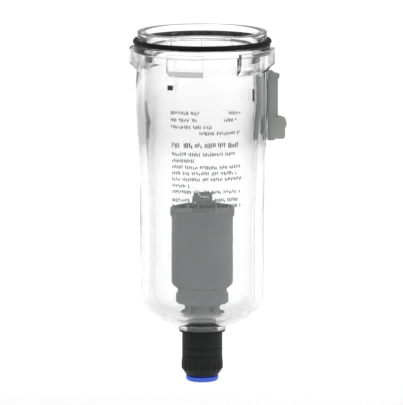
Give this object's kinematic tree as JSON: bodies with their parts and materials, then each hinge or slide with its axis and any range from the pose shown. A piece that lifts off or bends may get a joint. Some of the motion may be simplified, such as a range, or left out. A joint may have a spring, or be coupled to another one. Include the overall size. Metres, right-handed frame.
{
  "type": "compressed air filter bowl",
  "caption": "Clear filter bowl in a clear guard with bayonet lugs, sliding lock, float-operated automatic drain and push-in tube fitting on the drain knob.",
  "frame": {"origin": "centre of the bowl's mouth, in the plane of its rim", "axes": "+Z along the bowl's axis, up into the filter head; +X towards the lock slider"},
  "size_m": [0.0756, 0.07, 0.1706],
  "materials": {
    "clear_polycarbonate": "clear moulded polycarbonate, polished, slightly wavy",
    "clear_guard": "clear moulded polycarbonate guard, polished",
    "black_rubber": "nitrile rubber, satin",
    "grey_plastic": "moulded acetal, fine satin texture",
    "float_grey": "moulded polypropylene, satin",
    "drain_grey": "moulded acetal, satin",
    "black_plastic": "moulded black acetal, satin",
    "blue_plastic": "moulded acetal, semi-gloss",
    "stainless": "stainless steel, drawn",
    "brass": "turned brass",
    "white_seal": "light nitrile rubber"
  },
  "bodies": {
    "bowl_assembly": {"bowl": "clear_polycarbonate", "bowl_guard": "clear_guard", "bowl_o_ring": "black_rubber", "lock_spring": "stainless", "drain_housing": "drain_grey", "drain_body": "drain_grey", "drain_cap": "drain_grey", "body_o_ring": "black_rubber", "knob_o_ring": "black_rubber", "drain_gasket": "black_rubber", "lever_pin": "stainless", "pilot_nozzle": "brass", "piston_spring": "stainless", "drain_nut": "black_plastic", "knob_clip": "stainless"},
    "lock": {"lock_slider": "grey_plastic", "lock_backplate": "grey_plastic"},
    "float": {"float_shell": "float_grey", "float_lid": "float_grey"},
    "lever": {"pilot_lever": "drain_grey", "pilot_seal": "black_rubber"},
    "piston": {"piston": "black_plastic", "piston_seal": "black_rubber", "valve_seal": "black_rubber", "cam_pin": "stainless"},
    "knob": {"drain_knob": "black_plastic", "fitting_seal": "black_rubber", "fitting_guide": "black_plastic", "fitting_chuck": "stainless", "fitting_collet": "black_plastic"},
    "release_ring": {"release_button": "blue_plastic"}
  },
  "joints": [
    {"name": "lock_slide", "type": "slide", "parent": "bowl_assembly", "child": "lock", "axis": [0, 0, -1], "range_m": [0, 0.005], "stiffness_N_per_m": 250, "springref_m": -0.003, "deforming": ["lock_spring"]},
    {"name": "float_rise", "type": "slide", "parent": "bowl_assembly", "child": "float", "axis": [0, 0, 1], "range_m": [0, 0.002]},
    {"name": "lever_swing", "type": "hinge", "parent": "bowl_assembly", "child": "lever", "pos_m": [-0.0034, 0, -0.0828], "axis": [0, -1, 0], "range_deg": [0, 12.7]},
    {"name": "knob_turn", "type": "hinge", "parent": "bowl_assembly", "child": "knob", "pos_m": [0, 0, -0.152], "axis": [0, 0, 1], "range_deg": [0, 90]},
    {"name": "piston_slide", "type": "slide", "parent": "bowl_assembly", "child": "piston", "axis": [0, 0, -1], "range_m": [0, 0.003], "deforming": ["piston_spring"]},
    {"name": "release_press", "type": "slide", "parent": "knob", "child": "release_ring", "axis": [0, 0, 1], "range_m": [0, 0.0008], "stiffness_N_per_m": 500, "springref_m": -0.0004}
  ],
  "couplings": [
    {"joint": "lever_swing", "follows": "float_rise", "rad_per_m": 109},
    {"joint": "piston_slide", "follows": "knob_turn", "m_per_rad": 0.0019099}
  ]
}
